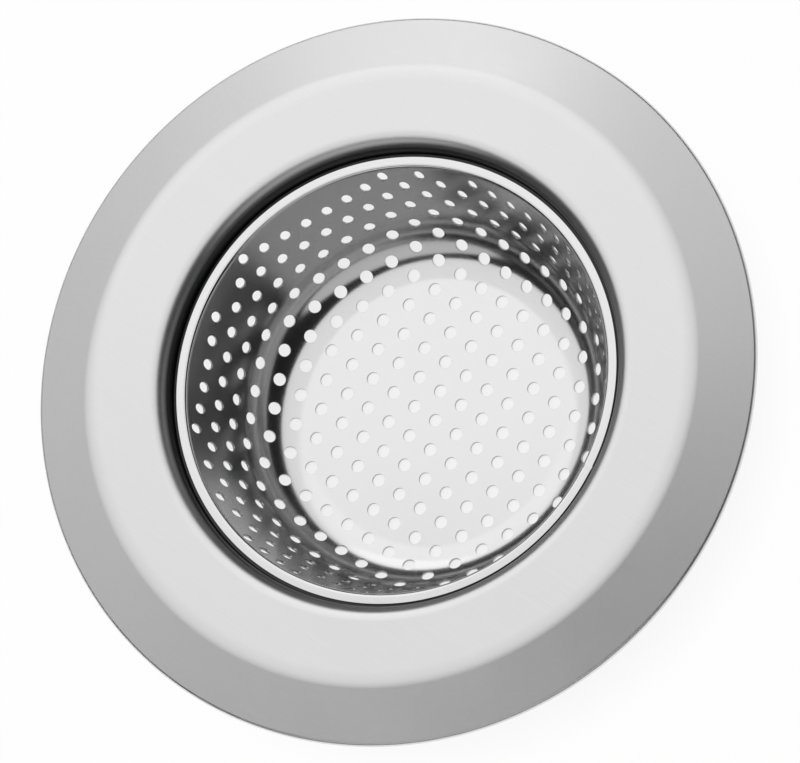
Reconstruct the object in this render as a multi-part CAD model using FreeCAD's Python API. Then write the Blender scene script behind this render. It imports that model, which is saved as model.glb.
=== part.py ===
"""Wide-rim sink strainer: a pressed rim that sits over a sink's drain, and a loose perforated basket.

Millimetres, +Z up. The origin is on the axis, in the plane of the sink's surface that the rim rests on.
"""
import FreeCAD
import Part
import math
import os

Vector = FreeCAD.Vector

# Rim: one ring of sheet. Bend radii are those of the middle of the sheet.
rim_radius = 57.0
rim_sheet = 0.6
flange_width = 11.7
bevel_angle = math.radians(22.0)
bevel_bend = 6.0
hem_bend = 0.4
hem_width = 3.0
shoulder_bend = 2.6
ledge_bend = 0.6

# Basket: one cup drawn from perforated sheet. Its lip hangs on the rim's ledge.
basket_sheet = 0.4
basket_height = 21.4
floor_radius = 20.8
corner_bend = 8.85
wall_top_radius = 33.6
lip_bend = 0.5
lip_width = 1.0
lip_depth = 3.2

# Fits between the two pieces: room round the lip, and room between the wall and the ledge.
lip_play = 0.6
ledge_clearance = 0.25

# Perforations, as they lie in the flat sheet before it is drawn: staggered rows along Y.
hole_radius = 1.0
hole_pitch = 4.12
row_pitch = 4.13
pattern_shift_x = -1.0
pattern_shift_y = -0.4
hole_margin = 0.5

# Extra length of a cutter past each face of the sheet.
cut_overrun = 0.5

# The wall is a straight line from the lip's corner that touches the arc of the floor's corner.
corner_to_lip_r = wall_top_radius - floor_radius
corner_to_lip_z = basket_height - basket_sheet - corner_bend
wall_length = math.sqrt(corner_to_lip_r ** 2 + corner_to_lip_z ** 2 - corner_bend ** 2)
wall_slope = math.atan2(corner_to_lip_z, corner_to_lip_r) + math.atan2(corner_bend, wall_length)
lip_bend_run = lip_bend * math.tan(wall_slope / 2)

# Radii from the lip outwards: the collar stands round the lip, and the flange runs from the collar to the bevel.
lip_start = wall_top_radius + lip_bend_run
lip_radius = lip_start + lip_width
ledge_radius = lip_start + ledge_clearance
collar_middle = lip_radius + lip_play + rim_sheet / 2
flat_radius = collar_middle + flange_width
nose_radius = rim_radius - hem_bend - rim_sheet / 2

# Heights of the rim. The bevel's slope sets how high the flange stands above the hem that rests on the sink.
hem_z = rim_sheet / 2
bevel_rise = hem_bend + hem_bend / math.cos(bevel_angle) + (nose_radius - flat_radius) * math.tan(bevel_angle)
flange_z = hem_z + bevel_rise
flange_top = flange_z + rim_sheet / 2

# Heights of the basket, from the lip that hangs below the flange to the middle of the floor's sheet.
lip_top = flange_top - lip_depth
lip_z = lip_top - basket_sheet / 2
floor_z = lip_top - basket_height + basket_sheet / 2
ledge_z = lip_top - basket_sheet - rim_sheet / 2


def side_of_sheet(middle, bends, offset):
    """Edges of one face of a bent sheet: the middle line moved sideways, with its corners rounded."""
    runs = [(end - start).normalize() for start, end in zip(middle, middle[1:])]
    sides = [Vector(-run.z, 0, run.x) for run in runs]
    ends = [middle[0] + sides[0] * offset]
    edges = []
    for index, bend in enumerate(bends):
        before, after = runs[index], runs[index + 1]
        mitre = (sides[index] + sides[index + 1]) / (1 + sides[index].dot(sides[index + 1]))
        corner = middle[index + 1] + mitre * offset
        turn = before.getAngle(after)
        left_turn = before.x * after.z - before.z * after.x > 0
        radius = bend - offset if left_turn else bend + offset
        run = radius * math.tan(turn / 2)
        inward = (after - before).normalize()
        arc_start = corner - before * run
        arc_middle = corner + inward * (radius / math.cos(turn / 2) - radius)
        arc_end = corner + after * run
        edges.append(Part.makeLine(ends[-1], arc_start))
        edges.append(Part.Arc(arc_start, arc_middle, arc_end).toShape())
        ends.append(arc_end)
    ends.append(middle[-1] + sides[-1] * offset)
    edges.append(Part.makeLine(ends[-2], ends[-1]))
    return edges, ends[0], ends[-1]


def turned_sheet(middle, bends, sheet):
    """A bent sheet turned about Z: middle holds the corners of its middle line in the XZ plane."""
    left, left_start, left_end = side_of_sheet(middle, bends, sheet / 2)
    right, right_start, right_end = side_of_sheet(middle, bends, -sheet / 2)
    closing = [Part.makeLine(left_end, right_end), Part.makeLine(right_start, left_start)]
    outline = Part.Wire(Part.__sortEdges__(left + right + closing))
    return Part.Face(outline).revolve(Vector(0, 0, 0), Vector(0, 0, 1), 360)


def make_rim():
    """The pressed ring, from the inner edge of its hem round the bevel and flange to the ledge."""
    nose_corner = nose_radius + hem_bend * (1 + 1 / math.cos(bevel_angle)) / math.tan(bevel_angle)
    middle = [
        Vector(nose_radius - hem_width, 0, hem_z),
        Vector(nose_corner, 0, hem_z),
        Vector(flat_radius, 0, flange_z),
        Vector(collar_middle, 0, flange_z),
        Vector(collar_middle, 0, ledge_z),
        Vector(ledge_radius, 0, ledge_z),
    ]
    return turned_sheet(middle, [hem_bend, bevel_bend, shoulder_bend, ledge_bend], rim_sheet)


def drawn_place(flat_distance):
    """Where a point of the flat sheet ends up on the cup, as radius, height and slope.

    The middle of the floor stays as it is. Beyond it the sheet keeps its area as it is drawn up.
    """
    if flat_distance <= floor_radius:
        return flat_distance, floor_z, 0
    drawn_area = (flat_distance ** 2 - floor_radius ** 2) / 2

    def corner_area(slope):
        return floor_radius * corner_bend * slope + corner_bend ** 2 * (1 - math.cos(slope))

    wall_area = drawn_area - corner_area(wall_slope)
    if wall_area > 0:
        wall_radius = floor_radius + corner_bend * math.sin(wall_slope)
        wall_z = floor_z + corner_bend * (1 - math.cos(wall_slope))
        root = math.sqrt(wall_radius ** 2 + 2 * wall_area * math.cos(wall_slope))
        climb = 2 * wall_area / (wall_radius + root)
        return wall_radius + climb * math.cos(wall_slope), wall_z + climb * math.sin(wall_slope), wall_slope
    low_slope, high_slope = 0, wall_slope
    for _ in range(40):
        slope = (low_slope + high_slope) / 2
        if corner_area(slope) < drawn_area:
            low_slope = slope
        else:
            high_slope = slope
    return (floor_radius + corner_bend * math.sin(slope),
            floor_z + corner_bend * (1 - math.cos(slope)),
            slope)


def flat_pattern(reach):
    """Places of the perforations in the flat sheet: rows along Y, every other row moved half a pitch."""
    columns = math.ceil(reach / row_pitch) + 1
    rows = math.ceil(reach / hole_pitch) + 1
    for column in range(-columns, columns + 1):
        x = column * row_pitch + pattern_shift_x
        for row in range(-rows, rows + 1):
            stagger = hole_pitch / 2 if column % 2 else 0
            yield x, row * hole_pitch + stagger + pattern_shift_y


def hole_cutters():
    """One cutter per perforation, square to the sheet, up to the bend of the lip."""
    highest = lip_z - (lip_bend_run + hole_radius + hole_margin) * math.sin(wall_slope)
    length = basket_sheet + 2 * cut_overrun
    cutters = []
    for x, y in flat_pattern(2 * wall_top_radius):
        radius, z, slope = drawn_place(math.hypot(x, y))
        if z > highest:
            continue
        around = math.atan2(y, x)
        outward = Vector(math.cos(around), math.sin(around), 0)
        square = Vector(0, 0, math.cos(slope)) - outward * math.sin(slope)
        middle = outward * radius + Vector(0, 0, z)
        cutters.append(Part.makeCylinder(hole_radius, length, middle - square * length / 2, square))
    return cutters


def make_basket():
    """The drawn cup, from the middle of its floor up the wall to the edge of the lip."""
    middle = [
        Vector(0, 0, floor_z),
        Vector(floor_radius + corner_bend * math.tan(wall_slope / 2), 0, floor_z),
        Vector(wall_top_radius, 0, lip_z),
        Vector(lip_radius, 0, lip_z),
    ]
    cup = turned_sheet(middle, [corner_bend, lip_bend], basket_sheet)
    return cup.cut(hole_cutters())


os.makedirs("parts", exist_ok=True)
for node, shape in (("rim", make_rim()), ("basket", make_basket())):
    shape.exportStep(f"parts/{node}.step")
    print(node, "solids", len(shape.Solids), "valid", shape.isValid(), "volume", round(shape.Volume, 1))
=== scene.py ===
"""Looks of a wide-rim sink strainer: a pressed steel rim and a loose perforated basket, in metres."""

import math

import bpy
from mathutils import Matrix, Vector


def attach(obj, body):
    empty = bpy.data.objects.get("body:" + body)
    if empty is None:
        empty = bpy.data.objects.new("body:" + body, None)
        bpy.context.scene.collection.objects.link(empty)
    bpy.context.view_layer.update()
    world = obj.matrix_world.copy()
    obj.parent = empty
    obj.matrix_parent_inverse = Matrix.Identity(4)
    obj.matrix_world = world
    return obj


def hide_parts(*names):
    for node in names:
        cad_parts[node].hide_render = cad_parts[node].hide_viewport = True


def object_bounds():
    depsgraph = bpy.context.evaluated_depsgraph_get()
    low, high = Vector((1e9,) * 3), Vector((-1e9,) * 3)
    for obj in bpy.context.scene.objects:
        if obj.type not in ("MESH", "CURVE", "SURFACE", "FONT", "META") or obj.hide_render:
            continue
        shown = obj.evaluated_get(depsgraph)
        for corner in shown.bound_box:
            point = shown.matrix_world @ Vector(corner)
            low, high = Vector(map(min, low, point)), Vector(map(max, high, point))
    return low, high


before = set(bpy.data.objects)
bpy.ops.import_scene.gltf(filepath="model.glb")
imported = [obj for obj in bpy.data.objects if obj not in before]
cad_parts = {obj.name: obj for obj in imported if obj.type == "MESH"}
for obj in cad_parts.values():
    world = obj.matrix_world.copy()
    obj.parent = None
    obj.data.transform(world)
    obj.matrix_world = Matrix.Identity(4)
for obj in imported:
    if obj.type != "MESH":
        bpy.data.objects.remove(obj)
cad_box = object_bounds()

millimetre = 0.001

# Rim, as in the part's source. Bend radii are those of the middle of the sheet.
rim_radius = 57.0 * millimetre
rim_sheet = 0.6 * millimetre
flange_width = 11.7 * millimetre
bevel_angle = math.radians(22.0)
bevel_bend = 6.0 * millimetre
hem_bend = 0.4 * millimetre
hem_width = 3.0 * millimetre
shoulder_bend = 2.6 * millimetre
ledge_bend = 0.6 * millimetre

# Basket, as in the part's source.
basket_sheet = 0.4 * millimetre
basket_height = 21.4 * millimetre
floor_radius = 20.8 * millimetre
corner_bend = 8.85 * millimetre
wall_top_radius = 33.6 * millimetre
lip_bend = 0.5 * millimetre
lip_width = 1.0 * millimetre
lip_depth = 3.2 * millimetre
lip_play = 0.6 * millimetre
ledge_clearance = 0.25 * millimetre

# Perforations in the flat sheet: staggered rows along Y.
hole_radius = 1.0 * millimetre
hole_pitch = 4.12 * millimetre
row_pitch = 4.13 * millimetre
pattern_shift_x = -1.0 * millimetre
pattern_shift_y = -0.4 * millimetre
hole_margin = 0.5 * millimetre

# Slopes, radii and heights that follow from those sizes.
corner_to_lip_r = wall_top_radius - floor_radius
corner_to_lip_z = basket_height - basket_sheet - corner_bend
wall_length = math.sqrt(corner_to_lip_r ** 2 + corner_to_lip_z ** 2 - corner_bend ** 2)
wall_slope = math.atan2(corner_to_lip_z, corner_to_lip_r) + math.atan2(corner_bend, wall_length)
lip_bend_run = lip_bend * math.tan(wall_slope / 2)
lip_start = wall_top_radius + lip_bend_run
lip_radius = lip_start + lip_width
ledge_radius = lip_start + ledge_clearance
collar_middle = lip_radius + lip_play + rim_sheet / 2
flat_radius = collar_middle + flange_width
nose_radius = rim_radius - hem_bend - rim_sheet / 2
hem_z = rim_sheet / 2
bevel_run = nose_radius - flat_radius
bevel_rise = hem_bend + hem_bend / math.cos(bevel_angle) + bevel_run * math.tan(bevel_angle)
flange_z = hem_z + bevel_rise
flange_top = flange_z + rim_sheet / 2
lip_top = flange_top - lip_depth
lip_z = lip_top - basket_sheet / 2
floor_z = lip_top - basket_height + basket_sheet / 2
ledge_z = lip_top - basket_sheet - rim_sheet / 2

# Fineness of the meshes. Edges that turn by more than the sharp angle are broken by a small bevel. Points
# of the basket's sheet that are nearer to the lip's bend than the trim move onto it, and points nearer to
# each other than the join distance become one.
sharp_angle = math.radians(50.0)
basket_edge = 0.05 * millimetre
rim_edge = 0.08 * millimetre
arc_step = math.radians(4.0)
bend_border = 0.12 * millimetre
rim_turns = 288
cell_side_steps = 4
lip_bend_steps = 6
edge_trim = 0.15 * millimetre
join_distance = 0.1 * millimetre

# Finish of the steels: noise as repeats per metre, shares of tone and of roughness, and fine scratches.
cloud_scale = 90.0
smear_scale = 26.0
noise_middle = 0.5
plain_tone = 0.93
grain_tone = 0.07
cloud_tone = 0.06
grain_roughness = 0.10
smear_roughness = 0.08
cloud_roughness = 0.05
drawn_roughness = 0.05
scratch_strength = 0.12
scratch_depth = 0.02 * millimetre


class Signal:
    """What comes out of a node's socket. Sums and products of signals add Math nodes to their plan."""

    def __init__(self, plan, socket):
        self.plan = plan
        self.socket = socket

    def beside(self, output):
        """Another output of the same node."""
        return Signal(self.plan, self.socket.node.outputs[output])

    def __add__(self, value):
        return self.plan.maths("ADD", self, value)

    def __radd__(self, value):
        return self.plan.maths("ADD", value, self)

    def __sub__(self, value):
        return self.plan.maths("SUBTRACT", self, value)

    def __rsub__(self, value):
        return self.plan.maths("SUBTRACT", value, self)

    def __mul__(self, value):
        return self.plan.maths("MULTIPLY", self, value)

    def __rmul__(self, value):
        return self.plan.maths("MULTIPLY", value, self)

    def __truediv__(self, value):
        return self.plan.maths("DIVIDE", self, value)

    def __gt__(self, value):
        return self.plan.maths("GREATER_THAN", self, value)

    def at_least(self, value):
        return self.plan.maths("MAXIMUM", self, value)

    def at_most(self, value):
        return self.plan.maths("MINIMUM", self, value)

    def root(self):
        return self.plan.maths("SQRT", self)

    def sine(self):
        return self.plan.maths("SINE", self)

    def cosine(self):
        return self.plan.maths("COSINE", self)

    def from_nought_to_one(self):
        return self.at_least(0.0).at_most(1.0)


class Plan:
    """A node tree that is written out in code."""

    def __init__(self, tree):
        self.tree = tree

    def node(self, kind, settings=None, sockets=None, output=0):
        """Adds a node, with its settings first and then the values or signals of its sockets."""
        made = self.tree.nodes.new(kind)
        for name, value in (settings or {}).items():
            setattr(made, name, value)
        for name, value in (sockets or {}).items():
            if isinstance(value, Signal):
                self.tree.links.new(value.socket, made.inputs[name])
            else:
                made.inputs[name].default_value = value
        return Signal(self, made.outputs[output]) if made.outputs else None

    def maths(self, operation, *values):
        return self.node("ShaderNodeMath", {"operation": operation}, dict(enumerate(values)))


def from_axis(x, y):
    """Distance of a place from an axis along Z, by its steps along X and Y."""
    return (x * x + y * y).root()


def collar_dullness_and_shade(distance, height):
    """How far a place on the rim is down the collar, where painted shade darkens its colour and its roughness
    rises: 0 on the flange and bevel, 1 beside the lip.
    """
    inside_steepness = 2.0
    down_steepness = 2.6
    down_start = 0.2
    inside = (collar_middle + shoulder_bend - distance) / shoulder_bend * inside_steepness
    down = (flange_top - height) / lip_depth * down_steepness - down_start
    return inside.from_nought_to_one() * down.from_nought_to_one()


def wall_dullness_and_shade(distance, height):
    """How far a place on the basket is up the wall, where painted shade darkens its colour and its roughness
    rises: 0 on the floor and the lip, 1 on the wall.
    """
    beyond_steepness = 2.0
    up_steepness = 1.5
    lip_steepness = 1.5
    beyond = (distance - floor_radius) / corner_bend * beyond_steepness
    up = (height - floor_z) / corner_bend * up_steepness
    below_lip = (lip_z - height) / lip_bend * lip_steepness
    return beyond.from_nought_to_one() * up.from_nought_to_one() * below_lip.from_nought_to_one()


def steel(name, grey, roughness, grain_across, grain_along, drawn, painted_shade):
    """Bare stainless sheet: rolling grain along Y, cloudy tone, smears, rougher where it is drawn, and
    painted shade that darkens its colour over the same mask.
    """
    material = bpy.data.materials.new(name)
    material.use_nodes = True
    material.node_tree.nodes.clear()
    plan = Plan(material.node_tree)
    place = plan.node("ShaderNodeTexCoord", output="Object")
    stretched = plan.node(
        "ShaderNodeMapping",
        sockets={"Vector": place, "Scale": (1 / grain_across, 1 / grain_along, 1 / grain_across)},
    )
    grain = plan.node("ShaderNodeTexNoise", sockets={"Vector": stretched, "Scale": 1.0, "Detail": 3.0})
    clouds = plan.node("ShaderNodeTexNoise", sockets={"Vector": place, "Scale": cloud_scale, "Detail": 4.0})
    smears = plan.node("ShaderNodeTexNoise", sockets={"Vector": place, "Scale": smear_scale, "Detail": 2.0})
    place_x = plan.node("ShaderNodeSeparateXYZ", sockets={"Vector": place})
    # Share of painted shade on the colour, which also raises the roughness where the sheet is drawn.
    shade_and_dullness = drawn(from_axis(place_x, place_x.beside("Y")), place_x.beside("Z"))
    tone = plain_tone + grain_tone * grain + cloud_tone * (clouds - noise_middle)
    # Painted shade: the base colour is darkened by that share.
    colour = plan.node(
        "ShaderNodeMix",
        {"data_type": "RGBA"},
        {0: tone * (1.0 - painted_shade * shade_and_dullness), 6: (0.0, 0.0, 0.0, 1.0), 7: (grey, grey, grey, 1.0)},
        output=2,
    )
    uneven_roughness = (
        roughness
        + grain_roughness * (grain - noise_middle)
        + smear_roughness * (smears - noise_middle)
        + cloud_roughness * (clouds - noise_middle)
        + drawn_roughness * shade_and_dullness
    )
    scratches = plan.node(
        "ShaderNodeBump",
        sockets={"Strength": scratch_strength, "Distance": scratch_depth, "Height": grain},
    )
    shader = plan.node("ShaderNodeBsdfPrincipled", sockets={
        "Base Color": colour,
        "Metallic": 1.0,
        "Roughness": uneven_roughness,
        "Normal": scratches,
    })
    plan.node("ShaderNodeOutputMaterial", sockets={"Surface": shader})
    return material


def sheet_cell():
    """One six-sided cell of the flat sheet, with rings of faces inside and round its hole."""
    side_point = (row_pitch ** 2 - hole_pitch ** 2 / 4) / (2 * row_pitch)
    far_point = row_pitch - side_point
    half_pitch = hole_pitch / 2
    corners = [
        Vector((far_point, 0)),
        Vector((side_point, half_pitch)),
        Vector((-side_point, half_pitch)),
        Vector((-far_point, 0)),
        Vector((-side_point, -half_pitch)),
        Vector((side_point, -half_pitch)),
    ]
    outline = []
    for start, end in zip(corners, corners[1:] + corners[:1]):
        for step in range(cell_side_steps):
            outline.append(start.lerp(end, step / cell_side_steps))
    hole_shares = (0.0, 0.5, 1.0)
    metal_shares = (0.2, 0.55, 1.0)
    rings = [[edge.normalized() * hole_radius * share for edge in outline] for share in hole_shares]
    rings += [[inner.lerp(edge, share) for inner, edge in zip(rings[-1], outline)] for share in metal_shares]
    points = [point.to_3d() for ring in rings for point in ring]
    count = len(outline)
    faces = []
    for ring in range(len(rings) - 1):
        for index in range(count):
            near, far = ring * count, (ring + 1) * count
            following = (index + 1) % count
            faces.append((near + index, far + index, far + following, near + following))
    mesh = bpy.data.meshes.new("sheet_cell")
    mesh.from_pydata(points, [], faces)
    return mesh


def drawn_basket_tree():
    """Node tree that repeats the cell over a round blank, punches it and draws it up into a cup with a lip.

    Beyond the flat middle of the floor the sheet keeps its area: each ring of the blank becomes the ring
    of the cup that has the same area, first round the corner, then up the wall, over the lip's bend and out
    to its edge.
    """
    tree = bpy.data.node_groups.new("drawn_basket", "GeometryNodeTree")
    tree.interface.new_socket("Cell", in_out="INPUT", socket_type="NodeSocketGeometry")
    for size in (
        "Hole Radius", "Hole Margin", "Hole Pitch", "Row Pitch", "Pattern Shift X", "Pattern Shift Y",
        "Floor Radius", "Floor Height", "Corner Bend", "Wall Slope", "Wall Length", "Lip Bend", "Lip Radius",
        "Edge Trim", "Join Distance",
    ):
        tree.interface.new_socket(size, in_out="INPUT", socket_type="NodeSocketFloat")
    for number in ("Columns", "Rows"):
        tree.interface.new_socket(number, in_out="INPUT", socket_type="NodeSocketInt")
    tree.interface.new_socket("Steel", in_out="INPUT", socket_type="NodeSocketMaterial")
    tree.interface.new_socket("Basket", in_out="OUTPUT", socket_type="NodeSocketGeometry")
    plan = Plan(tree)
    size = plan.node("NodeGroupInput").beside

    def stagger(column):
        return plan.maths("FLOORED_MODULO", column, 2.0) * size("Hole Pitch") / 2.0

    # The lattice of hole centres, with a cell of sheet at each.
    grid = plan.node("GeometryNodeMeshGrid", sockets={
        "Size X": (size("Columns") - 1) * size("Row Pitch"),
        "Size Y": (size("Rows") - 1) * size("Hole Pitch"),
        "Vertices X": size("Columns"),
        "Vertices Y": size("Rows"),
    })
    place = plan.node("GeometryNodeInputPosition")
    grid_x = plan.node("ShaderNodeSeparateXYZ", sockets={"Vector": place})
    column = plan.maths("ROUND", grid_x / size("Row Pitch"))
    shift = plan.node("ShaderNodeCombineXYZ", sockets={
        "X": size("Pattern Shift X"),
        "Y": size("Pattern Shift Y") + stagger(column),
    })
    lattice = plan.node("GeometryNodeSetPosition", sockets={"Geometry": grid, "Offset": shift})
    cells = plan.node("GeometryNodeInstanceOnPoints", sockets={"Points": lattice, "Instance": size("Cell")})
    sheet = plan.node("GeometryNodeRealizeInstances", sockets={"Geometry": cells})

    # Areas, over two pi, of the corner, the wall, the lip's bend and the lip.
    slope_sine = size("Wall Slope").sine()
    slope_cosine = size("Wall Slope").cosine()
    corner_area = (
        size("Floor Radius") * size("Corner Bend") * size("Wall Slope")
        + size("Corner Bend") * size("Corner Bend") * (1.0 - slope_cosine)
    )
    wall_start = size("Floor Radius") + size("Corner Bend") * slope_sine
    wall_area = size("Wall Length") * (wall_start + size("Wall Length") * slope_cosine / 2.0)
    bend_start = wall_start + size("Wall Length") * slope_cosine
    bend_width = size("Lip Bend") * slope_sine
    bend_middle = bend_start + bend_width / 2.0
    bend_area = size("Lip Bend") * size("Wall Slope") * bend_middle
    lip_start = bend_start + bend_width
    lip_area = (size("Lip Radius") * size("Lip Radius") - lip_start * lip_start) / 2.0

    def blank_radius(area):
        """Radius in the blank that holds this area beyond the floor."""
        return (size("Floor Radius") * size("Floor Radius") + 2.0 * area).root()

    # Holes are punched up to a margin below the lip's bend: the faces inside each of them go.
    flat_x = plan.node("ShaderNodeSeparateXYZ", sockets={"Vector": place})
    flat_y = flat_x.beside("Y")
    hole_column = plan.maths("ROUND", (flat_x - size("Pattern Shift X")) / size("Row Pitch"))
    hole_stagger = stagger(hole_column)
    hole_row = plan.maths("ROUND", (flat_y - size("Pattern Shift Y") - hole_stagger) / size("Hole Pitch"))
    hole_x = hole_column * size("Row Pitch") + size("Pattern Shift X")
    hole_y = hole_row * size("Hole Pitch") + hole_stagger + size("Pattern Shift Y")
    from_hole = from_axis(flat_x - hole_x, flat_y - hole_y)
    top_climb = size("Wall Length") - size("Hole Radius") - size("Hole Margin")
    top_area = corner_area + top_climb * (wall_start + top_climb * slope_cosine / 2.0)
    in_pattern = blank_radius(top_area) > from_axis(hole_x, hole_y)
    punched = plan.node(
        "GeometryNodeDeleteGeometry",
        {"domain": "FACE"},
        {"Geometry": sheet, "Selection": in_pattern * (size("Hole Radius") > from_hole)},
    )

    # The sheet is trimmed where the lip's bend starts, and points close to that edge are moved out onto it.
    flat_distance = from_axis(flat_x, flat_y)
    wall_reach = blank_radius(corner_area + wall_area)
    at_edge = flat_distance > wall_reach - size("Edge Trim")
    outside = plan.node(
        "GeometryNodeFieldOnDomain",
        {"data_type": "BOOLEAN", "domain": "POINT"},
        {0: at_edge},
    )
    trimmed = plan.node(
        "GeometryNodeDeleteGeometry",
        {"domain": "FACE"},
        {"Geometry": punched, "Selection": outside},
    )

    def spread_to(geometry, selection, radius):
        """Moves points of the blank straight out, or in, to a ring of this radius."""
        spread = radius / flat_distance
        place_on_ring = plan.node("ShaderNodeCombineXYZ", sockets={
            "X": flat_x * spread,
            "Y": flat_y * spread,
        })
        return plan.node("GeometryNodeSetPosition", sockets={
            "Geometry": geometry,
            "Selection": selection,
            "Position": place_on_ring,
        })

    edged = spread_to(trimmed, at_edge, wall_reach)
    blank = plan.node(
        "GeometryNodeMergeByDistance",
        sockets={"Geometry": edged, "Distance": size("Join Distance")},
    )

    # The plain bend and lip grow in even rings from the edges there that have one face.
    faces_beside = plan.node("GeometryNodeInputMeshEdgeNeighbors")
    growing = at_edge * ((2.0 - faces_beside) > 0.5)
    ring_areas = [bend_area * (step / lip_bend_steps) for step in range(1, lip_bend_steps + 1)]
    ring_areas.append(bend_area + lip_area)
    for ring_area in ring_areas:
        grown = plan.node(
            "GeometryNodeExtrudeMesh",
            {"mode": "EDGES"},
            {"Mesh": blank, "Selection": growing, "Offset Scale": 0.0},
        )
        growing = grown.beside("Top")
        blank = spread_to(grown, growing, blank_radius(corner_area + wall_area + ring_area))

    # How far each point of the blank is drawn round the corner, up the wall, over the bend and along the lip.
    # The slope round the corner starts from a near value and is corrected by what its area misses.
    floor_part = flat_distance.at_most(size("Floor Radius"))
    drawn_area = (flat_distance * flat_distance - floor_part * floor_part) / 2.0
    in_corner = drawn_area.at_most(corner_area)
    in_wall = (drawn_area - corner_area).at_least(0.0).at_most(wall_area)
    in_bend = (drawn_area - corner_area - wall_area).at_least(0.0).at_most(bend_area)
    in_lip = (drawn_area - corner_area - wall_area - bend_area).at_least(0.0)
    slope = (
        (size("Floor Radius") * size("Floor Radius") + 2.0 * in_corner).root() - size("Floor Radius")
    ) / size("Corner Bend")
    corrections = 3
    for _ in range(corrections):
        missed = (
            size("Floor Radius") * size("Corner Bend") * slope
            + size("Corner Bend") * size("Corner Bend") * (1.0 - slope.cosine())
            - in_corner
        )
        ring_radius = size("Floor Radius") + size("Corner Bend") * slope.sine()
        slope = slope - missed / (size("Corner Bend") * ring_radius)
    climb = 2.0 * in_wall / (wall_start + (wall_start * wall_start + 2.0 * in_wall * slope_cosine).root())
    slope_left = size("Wall Slope") - in_bend / (size("Lip Bend") * bend_middle)
    radius = (
        floor_part
        + size("Corner Bend") * slope.sine()
        + climb * slope_cosine
        + size("Lip Bend") * (slope_sine - slope_left.sine())
        + (lip_start * lip_start + 2.0 * in_lip).root() - lip_start
    )
    height = (
        size("Floor Height")
        + size("Corner Bend") * (1.0 - slope.cosine())
        + climb * slope_sine
        + size("Lip Bend") * (slope_left.cosine() - slope_cosine)
    )
    drawing_in = radius / flat_distance.at_least(size("Join Distance"))
    cup_place = plan.node("ShaderNodeCombineXYZ", sockets={
        "X": flat_x * drawing_in,
        "Y": flat_y * drawing_in,
        "Z": height,
    })
    cup = plan.node("GeometryNodeSetPosition", sockets={"Geometry": blank, "Position": cup_place})
    smooth = plan.node("GeometryNodeSetShadeSmooth", sockets={"Geometry": cup})
    finished = plan.node("GeometryNodeSetMaterial", sockets={"Geometry": smooth, "Material": size("Steel")})
    plan.node("NodeGroupOutput", sockets={"Basket": finished})
    return tree


def break_edges(piece, width, segments):
    """Adds a small bevel along the sharp edges of a piece."""
    edges = piece.modifiers.new("edges", "BEVEL")
    edges.width = width
    edges.segments = segments
    edges.limit_method = "ANGLE"
    edges.angle_limit = sharp_angle


def make_basket(material):
    """The basket: one drawn cup of perforated sheet, with the edges of its holes and lip broken."""
    basket = bpy.data.objects.new("perforated_basket", sheet_cell())
    bpy.context.scene.collection.objects.link(basket)
    drawing = basket.modifiers.new("drawing", "NODES")
    drawing.node_group = drawn_basket_tree()
    reach = 2 * wall_top_radius
    values = {
        "Hole Radius": hole_radius,
        "Hole Margin": hole_margin,
        "Hole Pitch": hole_pitch,
        "Row Pitch": row_pitch,
        "Pattern Shift X": pattern_shift_x,
        "Pattern Shift Y": pattern_shift_y,
        "Floor Radius": floor_radius,
        "Floor Height": floor_z,
        "Corner Bend": corner_bend,
        "Wall Slope": wall_slope,
        "Wall Length": wall_length - lip_bend_run,
        "Lip Bend": lip_bend,
        "Lip Radius": lip_radius,
        "Edge Trim": edge_trim,
        "Join Distance": join_distance,
        "Columns": 2 * math.ceil(reach / row_pitch) + 1,
        "Rows": 2 * math.ceil(reach / hole_pitch) + 1,
        "Steel": material,
    }
    for socket in drawing.node_group.interface.items_tree:
        if socket.in_out == "INPUT" and socket.name in values:
            drawing[socket.identifier] = values[socket.name]
    thickness = basket.modifiers.new("thickness", "SOLIDIFY")
    thickness.thickness = basket_sheet
    thickness.offset = 0.0
    thickness.use_quality_normals = True
    break_edges(basket, basket_edge, 1)
    settled(basket)
    true_normals(basket.data)
    return basket


def drawn_normal(place):
    """Upward normal of the drawn cup at the point of its middle surface that is nearest to a place."""
    radius = math.hypot(place.x, place.y)
    if place.z < (floor_z + lip_z) / 2:
        slope = math.atan2(radius - floor_radius, floor_z + corner_bend - place.z)
    else:
        slope = math.atan2(lip_start - radius, place.z - lip_z + lip_bend)
    slope = min(max(slope, 0.0), wall_slope)
    outward = Vector((place.x, place.y, 0.0)).normalized()
    return Vector((0.0, 0.0, math.cos(slope))) - outward * math.sin(slope)


def true_normals(shape):
    """Gives the broad faces of the cup the exact normals of its shape. Cut edges keep their own."""
    broad_facing = math.cos(math.radians(30.0))
    upward = [drawn_normal(vertex.co) for vertex in shape.vertices]
    exact = [Vector((0.0, 0.0, 0.0)) for _ in upward]
    for face in shape.polygons:
        for index in face.vertices:
            facing = face.normal.dot(upward[index])
            if abs(facing) > broad_facing:
                exact[index] = upward[index] * math.copysign(1.0, facing)
    shape.normals_split_custom_set_from_vertices(exact)


def settled(piece):
    """Turns a piece with modifiers into one plain mesh."""
    shape = bpy.data.meshes.new_from_object(piece.evaluated_get(bpy.context.evaluated_depsgraph_get()))
    shape.name = piece.name
    piece.modifiers.clear()
    piece.data = shape
    return piece


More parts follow.
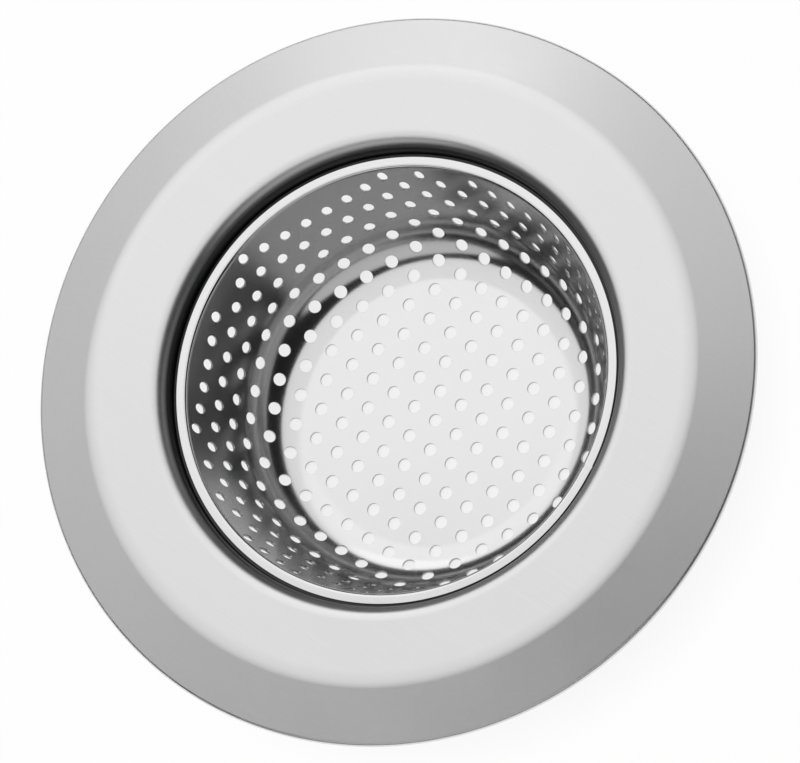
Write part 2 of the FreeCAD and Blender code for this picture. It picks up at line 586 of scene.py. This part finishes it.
def bent_side(middle, bends, offset):
    """Points along one face of a bent sheet, as radius and height: its middle line moved sideways."""
    runs = [(end - start).normalized() for start, end in zip(middle, middle[1:])]
    sides = [Vector((-run.y, run.x)) for run in runs]
    points = [middle[0] + sides[0] * offset]
    for index, bend in enumerate(bends):
        before, after = runs[index], runs[index + 1]
        turn = before.angle(after)
        left = 1 if before.x * after.y - before.y * after.x > 0 else -1
        mitre = (after - before).normalized() * (bend / math.cos(turn / 2))
        centre = middle[index + 1] + mitre
        steps = math.ceil(turn / arc_step)
        arc = []
        for step in range(steps + 1):
            side = Matrix.Rotation(left * turn * step / steps, 2) @ sides[index]
            arc.append(centre - side * (left * bend - offset))
        points += [arc[0] - before * bend_border, *arc, arc[-1] + after * bend_border]
    points.append(middle[-1] + sides[-1] * offset)
    return points


def make_rim(material):
    """The rim: one ring of bent sheet, from its hem round the bevel, flange and collar to the ledge."""
    nose_corner = nose_radius + hem_bend * (1 + 1 / math.cos(bevel_angle)) / math.tan(bevel_angle)
    middle = [
        Vector((nose_radius - hem_width, hem_z)),
        Vector((nose_corner, hem_z)),
        Vector((flat_radius, flange_z)),
        Vector((collar_middle, flange_z)),
        Vector((collar_middle, ledge_z)),
        Vector((ledge_radius, ledge_z)),
    ]
    bends = [hem_bend, bevel_bend, shoulder_bend, ledge_bend]
    outline = bent_side(middle, bends, rim_sheet / 2)[::-1] + bent_side(middle, bends, -rim_sheet / 2)
    count = len(outline)
    points = []
    for turn in range(rim_turns):
        angle = 2 * math.pi * turn / rim_turns
        points += [(point.x * math.cos(angle), point.x * math.sin(angle), point.y) for point in outline]
    faces = []
    for turn in range(rim_turns):
        here, there = turn * count, (turn + 1) % rim_turns * count
        for index in range(count):
            following = (index + 1) % count
            faces.append((here + index, there + index, there + following, here + following))
    mesh = bpy.data.meshes.new("pressed_rim")
    mesh.from_pydata(points, [], faces)
    mesh.shade_smooth()
    mesh.materials.append(material)
    rim = bpy.data.objects.new("pressed_rim", mesh)
    bpy.context.scene.collection.objects.link(rim)
    break_edges(rim, rim_edge, 2)
    return settled(rim)


def make_ground(height):
    """A white table top with a faint real shadow and a painted shadow that makes it dimmer under the
    strainer, not seen from below.
    """
    # Shares of the painted shadow under the strainer: as seen, and as mirrored by the steel.
    painted_shadow_seen = 0.2
    painted_shadow_mirrored = 0.8
    whiteness = 0.98
    reach = 2.0
    material = bpy.data.materials.new("white_table")
    material.use_nodes = True
    material.node_tree.nodes.clear()
    plan = Plan(material.node_tree)
    place = plan.node("ShaderNodeTexCoord", output="Object")
    place_x = plan.node("ShaderNodeSeparateXYZ", sockets={"Vector": place})
    # Painted shadow: the table's white is dimmed fully inside the lip's reach, fading out towards the rim's
    # edge.
    inside_rim = rim_radius - from_axis(place_x, place_x.beside("Y"))
    painted_shadow = (inside_rim / (rim_radius - lip_radius)).from_nought_to_one()
    path = plan.node("ShaderNodeLightPath")
    looked_at = path.beside("Is Camera Ray") * (1.0 - painted_shadow_seen * painted_shadow)
    reflected = path.beside("Is Glossy Ray") + path.beside("Is Transmission Ray")
    mirrored = reflected * (1.0 - painted_shadow_mirrored * painted_shadow)
    seen = (looked_at + mirrored).at_most(1.0)
    matt = plan.node("ShaderNodeBsdfDiffuse", sockets={"Color": (0.9, 0.9, 0.9, 1.0)})
    white = plan.node("ShaderNodeEmission", sockets={"Color": (1.0, 1.0, 1.0, 1.0), "Strength": 1.0})
    top = plan.node("ShaderNodeMixShader", sockets={0: seen * whiteness, 1: matt, 2: white})
    clear = plan.node("ShaderNodeBsdfTransparent")
    facing = plan.node("ShaderNodeNewGeometry", output="Backfacing")
    surface = plan.node("ShaderNodeMixShader", sockets={0: facing, 1: top, 2: clear})
    plan.node("ShaderNodeOutputMaterial", sockets={"Surface": surface})
    corners = [
        (-reach, -reach, height),
        (reach, -reach, height),
        (reach, reach, height),
        (-reach, reach, height),
    ]
    mesh = bpy.data.meshes.new("table_top")
    mesh.from_pydata(corners, [], [(0, 1, 2, 3)])
    mesh.materials.append(material)
    ground = bpy.data.objects.new("table_top", mesh)
    bpy.context.scene.collection.objects.link(ground)


def direction(azimuth, elevation):
    """A unit vector: azimuth 0 points to -Y and 90 to +X, elevation is above the table, in degrees."""
    turn, rise = math.radians(azimuth), math.radians(elevation)
    return Vector((math.sin(turn) * math.cos(rise), -math.cos(turn) * math.cos(rise), math.sin(rise)))


def make_softbox(name, towards, distance, across, up, radiance):
    """A round or oval soft light that faces the strainer, with the half angles that it fills."""
    half_width = distance * math.tan(math.radians(across))
    half_height = distance * math.tan(math.radians(up))
    lamp = bpy.data.lights.new(name, "AREA")
    lamp.shape = "ELLIPSE"
    lamp.size = 2 * half_width
    lamp.size_y = 2 * half_height
    lamp.energy = radiance * math.pi * math.pi * half_width * half_height
    box = bpy.data.objects.new(name, lamp)
    box.location = towards * distance
    box.rotation_euler = towards.to_track_quat("Z", "Y").to_euler()
    box.visible_camera = False
    bpy.context.scene.collection.objects.link(box)


def make_light():
    """A large softbox behind and above, two smaller ones nearer and lower, and two wide ones at the front.

    Each row has a name, azimuth, elevation, distance, half angles across and up, and radiance.
    """
    softboxes = (
        ("back_softbox", 166.5, 64.6, 1.0, 48.2, 48.2, 0.89),
        ("small_back_softbox", 150.3, 45.4, 0.4, 27.6, 27.6, 0.18),
        ("low_back_softbox", 138.0, 28.0, 0.7, 16.0, 15.0, 0.20),
        ("front_fill", -52.0, 35.0, 1.0, 44.0, 15.5, 0.62),
        ("low_front_softbox", 48.0, 13.0, 1.0, 50.0, 10.0, 0.45),
    )
    for name, azimuth, elevation, distance, across, up, radiance in softboxes:
        make_softbox(name, direction(azimuth, elevation), distance, across, up, radiance)
    room_strength = 0.015
    world = bpy.data.worlds.new("dim_room")
    world.use_nodes = True
    world.node_tree.nodes.clear()
    plan = Plan(world.node_tree)
    room = plan.node(
        "ShaderNodeBackground",
        sockets={"Color": (1.0, 1.0, 1.0, 1.0), "Strength": room_strength},
    )
    plan.node("ShaderNodeOutputWorld", sockets={"Surface": room})
    bpy.context.scene.world = world


def make_camera():
    """A long lens from above, rolled as the photograph is."""
    view_width = 121.3 * millimetre
    distance = 5.0
    azimuth = -5.0
    elevation = 67.35
    roll = math.radians(50.66)
    shift_right = 1.574 * millimetre
    shift_down = 1.014 * millimetre
    back = direction(azimuth, elevation)
    level_right = Vector((math.cos(math.radians(azimuth)), math.sin(math.radians(azimuth)), 0.0))
    level_up = back.cross(level_right)
    right = level_right * math.cos(roll) - level_up * math.sin(roll)
    up = level_right * math.sin(roll) + level_up * math.cos(roll)
    target = Vector((0.0, 0.0, flange_top)) + right * shift_right - up * shift_down
    lens = bpy.data.cameras.new("camera")
    lens.sensor_width = 36.0
    lens.lens = lens.sensor_width * distance / view_width
    camera = bpy.data.objects.new("camera", lens)
    camera.matrix_world = Matrix((
        (right.x, up.x, back.x, target.x + back.x * distance),
        (right.y, up.y, back.y, target.y + back.y * distance),
        (right.z, up.z, back.z, target.z + back.z * distance),
        (0.0, 0.0, 0.0, 1.0),
    ))
    bpy.context.scene.collection.objects.link(camera)
    bpy.context.scene.camera = camera


rim_steel = steel(
    "rim_steel",
    grey=0.80,
    roughness=0.33,
    grain_across=0.3 * millimetre,
    grain_along=9.0 * millimetre,
    drawn=collar_dullness_and_shade,
    # Painted shade takes the collar's colour almost to black.
    painted_shade=0.93,
)
basket_steel = steel(
    "basket_steel",
    grey=0.79,
    roughness=0.15,
    grain_across=0.25 * millimetre,
    grain_along=4.0 * millimetre,
    drawn=wall_dullness_and_shade,
    # Painted shade takes the wall's colour down by two fifths.
    painted_shade=0.4,
)

rim = make_rim(rim_steel)
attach(rim, "rim")
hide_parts("rim")

basket = make_basket(basket_steel)
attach(basket, "basket")
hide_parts("basket")

table_gap = 0.1 * millimetre
make_ground(cad_box[0].z - table_gap)
make_light()
make_camera()
bpy.context.scene.view_settings.view_transform = "Standard"
